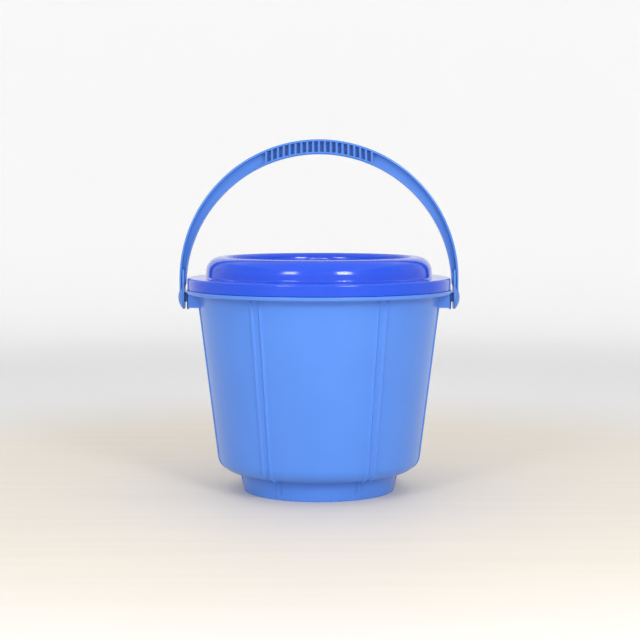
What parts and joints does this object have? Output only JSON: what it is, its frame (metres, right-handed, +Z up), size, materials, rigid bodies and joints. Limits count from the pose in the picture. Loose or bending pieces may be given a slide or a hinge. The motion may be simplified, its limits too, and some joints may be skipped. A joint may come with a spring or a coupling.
{
  "type": "wash bucket",
  "caption": "Round tapered plastic bucket with a domed press-on lid and a swinging carry handle with a ribbed grip.",
  "frame": {"origin": "on the floor, at the tub's axis", "axes": "+Z up along the tub's axis; X along the handle's pivot line; the front is -Y"},
  "size_m": [0.2616, 0.2456, 0.3255],
  "materials": {
    "tub": "glossy moulded polypropylene, mid blue",
    "lid": "glossy moulded polypropylene, deeper blue",
    "handle": "glossy moulded polypropylene, blue"
  },
  "bodies": {
    "tub": {"tub": "tub"},
    "lid": {"lid": "lid"},
    "handle": {"handle_bow": "handle", "handle_end_right": "handle", "handle_end_left": "handle"}
  },
  "joints": [
    {"name": "handle_swing", "type": "hinge", "parent": "tub", "child": "handle", "pos_m": [0, 0, 0.1798], "axis": [1, 0, 0], "range_deg": [-126, 126]},
    {"name": "lid_lift", "type": "slide", "parent": "tub", "child": "lid", "axis": [0, 0, 1], "range_m": [0, 0.009]}
  ]
}
